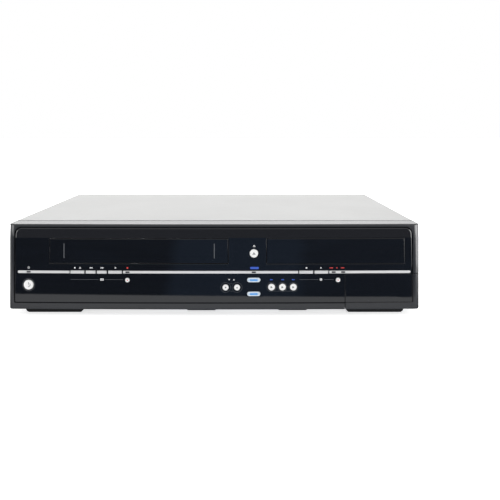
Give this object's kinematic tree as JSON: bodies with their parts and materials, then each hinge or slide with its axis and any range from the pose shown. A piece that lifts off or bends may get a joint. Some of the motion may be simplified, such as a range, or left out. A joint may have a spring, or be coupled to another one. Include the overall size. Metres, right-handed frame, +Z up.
{
  "type": "video cassette and disc recorder",
  "caption": "Wide low recorder: bulged gloss front with cassette door, sliding disc tray, button strip and a flap over front sockets, in a folded metal cover on feet.",
  "frame": {"origin": "centre of the bounding box's underside, on the floor under the feet", "axes": "+X to the right seen from the front, front faces -Y, +Z up"},
  "size_m": [0.4394, 0.3553, 0.0995],
  "materials": {
    "bezel_satin": "satin",
    "fascia_gloss": "high gloss",
    "flap_gloss": "high gloss with a satin rim",
    "strip_silver": "silver paint",
    "button_silver": "silver paint",
    "button_white": "lit white",
    "cover_paint": "fine matt silver paint",
    "plated_steel": "galvanised sheet",
    "foot_rubber": "matt",
    "screw_steel": "black oxide",
    "socket_black": "matt",
    "socket_metal": "nickel plate",
    "tuner_plate": "tin plate",
    "board_green": "solder mask",
    "board_amber": "paper laminate",
    "disk_alloy": "cast",
    "fan_black": "satin",
    "drum_alloy": "fine turned",
    "shaft_steel": "ground",
    "arm_steel": "pressed",
    "roller_rubber": "matt",
    "reel_nylon": "natural nylon",
    "motor_can": "plated can",
    "mech_dark": "glass filled",
    "table_rubber": "satin"
  },
  "bodies": {
    "chassis": {"front_bezel": "bezel_satin", "fascia_panel": "fascia_gloss", "trim_strip": "strip_silver", "top_cover": "cover_paint", "bottom_chassis": "plated_steel", "rear_panel": "plated_steel", "front_feet": "foot_rubber", "rear_feet": "foot_rubber", "cover_screws": "screw_steel", "front_sockets": "socket_metal", "rear_sockets": "socket_black", "tuner_box": "tuner_plate", "mains_inlet": "socket_black", "main_board": "board_green", "power_board": "board_amber", "key_board": "board_green", "hard_drive": "disk_alloy", "drive_bracket": "plated_steel", "fan_frame": "fan_black", "deck_frame": "plated_steel", "lower_drum": "drum_alloy", "loading_motor": "motor_can", "drive_case": "plated_steel"},
    "disc_tray": {"disc_tray": "mech_dark", "tray_front": "fascia_gloss"},
    "cassette_door": {"cassette_door": "fascia_gloss"},
    "socket_flap": {"socket_flap": "flap_gloss"},
    "holder_slider": {"holder_slider": "mech_dark"},
    "cassette_holder": {"cassette_holder": "arm_steel"},
    "loading_pinion": {"loading_pinion": "reel_nylon"},
    "traverse_frame": {"traverse_frame": "mech_dark"},
    "turntable": {"turntable": "table_rubber"},
    "pickup_sled": {"pickup_sled": "mech_dark"},
    "leadscrew": {"leadscrew": "shaft_steel"},
    "upper_drum": {"upper_drum": "drum_alloy"},
    "capstan": {"capstan": "shaft_steel"},
    "pinch_arm": {"pinch_arm": "arm_steel"},
    "pinch_roller": {"pinch_roller": "roller_rubber"},
    "supply_reel": {"supply_reel": "reel_nylon"},
    "take_up_reel": {"take_up_reel": "reel_nylon"},
    "entry_guide": {"entry_guide": "arm_steel"},
    "exit_guide": {"exit_guide": "arm_steel"},
    "fan_rotor": {"fan_rotor": "fan_black"},
    "standby_button": {"standby_button": "button_silver"},
    "tape_stop_button": {"tape_stop_button": "button_silver"},
    "tape_rewind_button": {"tape_rewind_button": "button_silver"},
    "tape_forward_button": {"tape_forward_button": "button_silver"},
    "tape_play_button": {"tape_play_button": "button_silver"},
    "tape_record_button": {"tape_record_button": "button_silver"},
    "open_close_button": {"open_close_button": "button_silver"},
    "channel_down_button": {"channel_down_button": "button_silver"},
    "channel_up_button": {"channel_up_button": "button_silver"},
    "select_top_button": {"select_top_button": "button_white"},
    "select_low_button": {"select_low_button": "button_white"},
    "dub_left_button": {"dub_left_button": "button_silver"},
    "dub_middle_button": {"dub_middle_button": "button_silver"},
    "dub_right_button": {"dub_right_button": "button_silver"},
    "disc_stop_button": {"disc_stop_button": "button_silver"},
    "disc_play_button": {"disc_play_button": "button_silver"},
    "disc_record_button": {"disc_record_button": "button_silver"}
  },
  "joints": [
    {"name": "door_swing", "type": "hinge", "parent": "chassis", "child": "cassette_door", "pos_m": [-0.0802, -0.16875, 0.09095], "axis": [1, 0, 0], "range_deg": [0, 90], "stiffness_Nm_per_rad": 0.02, "springref_deg": -28.65},
    {"name": "flap_fold", "type": "hinge", "parent": "chassis", "child": "socket_flap", "pos_m": [0.1785, -0.16855, 0.0116], "axis": [1, 0, 0], "range_deg": [0, 90]},
    {"name": "tray_slide", "type": "slide", "parent": "chassis", "child": "disc_tray", "axis": [0, -1, 0], "range_m": [0, 0.14137]},
    {"name": "pinion_turn", "type": "hinge", "parent": "chassis", "child": "loading_pinion", "pos_m": [0.0795, -0.14935, 0.061], "axis": [0, 0, 1], "range_deg": [0, 901]},
    {"name": "slider_travel", "type": "slide", "parent": "chassis", "child": "holder_slider", "axis": [0, 1, 0], "range_m": [0, 0.075]},
    {"name": "holder_lower", "type": "slide", "parent": "holder_slider", "child": "cassette_holder", "axis": [0, 0, -1], "range_m": [0, 0.02]},
    {"name": "traverse_tilt", "type": "hinge", "parent": "chassis", "child": "traverse_frame", "pos_m": [0.1295, -0.01985, 0.0575], "axis": [1, 0, 0], "range_deg": [0, 2.2]},
    {"name": "disc_spin", "type": "hinge", "parent": "traverse_frame", "child": "turntable", "pos_m": [0.1295, -0.09385, 0.0615], "axis": [0, 0, 1], "continuous": true},
    {"name": "sled_travel", "type": "slide", "parent": "traverse_frame", "child": "pickup_sled", "axis": [0, 1, 0], "range_m": [0, 0.034]},
    {"name": "screw_turn", "type": "hinge", "parent": "traverse_frame", "child": "leadscrew", "pos_m": [0.157, -0.05385, 0.061], "axis": [0, 1, 0], "range_deg": [0, 4081]},
    {"name": "drum_spin", "type": "hinge", "parent": "chassis", "child": "upper_drum", "pos_m": [-0.0802, 0.05815, 0.0342], "axis": [0, 0.1045, 0.9945], "continuous": true},
    {"name": "capstan_spin", "type": "hinge", "parent": "chassis", "child": "capstan", "pos_m": [-0.0252, 0.01415, 0.0342], "axis": [0, 0, 1], "continuous": true},
    {"name": "pinch_swing", "type": "hinge", "parent": "chassis", "child": "pinch_arm", "pos_m": [0.0008, 0.02615, 0.0342], "axis": [0, 0, 1], "range_deg": [0, 30], "stiffness_Nm_per_rad": 0.01, "springref_deg": -5.73},
    {"name": "roller_spin", "type": "hinge", "parent": "pinch_arm", "child": "pinch_roller", "pos_m": [-0.02382, 0.03551, 0.0472], "axis": [0, 0, 1], "continuous": true},
    {"name": "supply_spin", "type": "hinge", "parent": "chassis", "child": "supply_reel", "pos_m": [-0.1262, -0.03985, 0.0342], "axis": [0, 0, 1], "continuous": true},
    {"name": "take_up_spin", "type": "hinge", "parent": "chassis", "child": "take_up_reel", "pos_m": [-0.0342, -0.03985, 0.0342], "axis": [0, 0, 1], "continuous": true},
    {"name": "entry_swing", "type": "hinge", "parent": "chassis", "child": "entry_guide", "pos_m": [-0.1422, 0.03615, 0.0342], "axis": [0, 0, 1], "range_deg": [0, 70]},
    {"name": "exit_swing", "type": "hinge", "parent": "chassis", "child": "exit_guide", "pos_m": [-0.0182, 0.03615, 0.0342], "axis": [0, 0, 1], "range_deg": [-70, 0]},
    {"name": "fan_spin", "type": "hinge", "parent": "chassis", "child": "fan_rotor", "pos_m": [0.1875, 0.16145, 0.045], "axis": [0, 1, 0], "continuous": true},
    {"name": "standby_press", "type": "slide", "parent": "chassis", "child": "standby_button", "axis": [0, 1, 0], "range_m": [0, 0.0008], "stiffness_N_per_m": 400},
    {"name": "tape_stop_press", "type": "slide", "parent": "chassis", "child": "tape_stop_button", "axis": [0, 1, 0], "range_m": [0, 0.0008], "stiffness_N_per_m": 400},
    {"name": "tape_rewind_press", "type": "slide", "parent": "chassis", "child": "tape_rewind_button", "axis": [0, 1, 0], "range_m": [0, 0.0008], "stiffness_N_per_m": 400},
    {"name": "tape_forward_press", "type": "slide", "parent": "chassis", "child": "tape_forward_button", "axis": [0, 1, 0], "range_m": [0, 0.0008], "stiffness_N_per_m": 400},
    {"name": "tape_play_press", "type": "slide", "parent": "chassis", "child": "tape_play_button", "axis": [0, 1, 0], "range_m": [0, 0.0008], "stiffness_N_per_m": 400},
    {"name": "tape_record_press", "type": "slide", "parent": "chassis", "child": "tape_record_button", "axis": [0, 1, 0], "range_m": [0, 0.0008], "stiffness_N_per_m": 400},
    {"name": "open_close_press", "type": "slide", "parent": "chassis", "child": "open_close_button", "axis": [0, 1, 0], "range_m": [0, 0.0008], "stiffness_N_per_m": 400},
    {"name": "channel_down_press", "type": "slide", "parent": "chassis", "child": "channel_down_button", "axis": [0, 1, 0], "range_m": [0, 0.0008], "stiffness_N_per_m": 400},
    {"name": "channel_up_press", "type": "slide", "parent": "chassis", "child": "channel_up_button", "axis": [0, 1, 0], "range_m": [0, 0.0008], "stiffness_N_per_m": 400},
    {"name": "select_top_press", "type": "slide", "parent": "chassis", "child": "select_top_button", "axis": [0, 1, 0], "range_m": [0, 0.0008], "stiffness_N_per_m": 400},
    {"name": "select_low_press", "type": "slide", "parent": "chassis", "child": "select_low_button", "axis": [0, 1, 0], "range_m": [0, 0.0008], "stiffness_N_per_m": 400},
    {"name": "dub_left_press", "type": "slide", "parent": "chassis", "child": "dub_left_button", "axis": [0, 1, 0], "range_m": [0, 0.0008], "stiffness_N_per_m": 400},
    {"name": "dub_middle_press", "type": "slide", "parent": "chassis", "child": "dub_middle_button", "axis": [0, 1, 0], "range_m": [0, 0.0008], "stiffness_N_per_m": 400},
    {"name": "dub_right_press", "type": "slide", "parent": "chassis", "child": "dub_right_button", "axis": [0, 1, 0], "range_m": [0, 0.0008], "stiffness_N_per_m": 400},
    {"name": "disc_stop_press", "type": "slide", "parent": "chassis", "child": "disc_stop_button", "axis": [0, 1, 0], "range_m": [0, 0.0008], "stiffness_N_per_m": 400},
    {"name": "disc_play_press", "type": "slide", "parent": "chassis", "child": "disc_play_button", "axis": [0, 1, 0], "range_m": [0, 0.0008], "stiffness_N_per_m": 400},
    {"name": "disc_record_press", "type": "slide", "parent": "chassis", "child": "disc_record_button", "axis": [0, 1, 0], "range_m": [0, 0.0008], "stiffness_N_per_m": 400}
  ],
  "couplings": [
    {"joint": "pinion_turn", "follows": "tray_slide", "rad_per_m": 111.11},
    {"joint": "screw_turn", "follows": "sled_travel", "rad_per_m": 2094.4},
    {"joint": "exit_swing", "follows": "entry_swing", "ratio": -1}
  ]
}
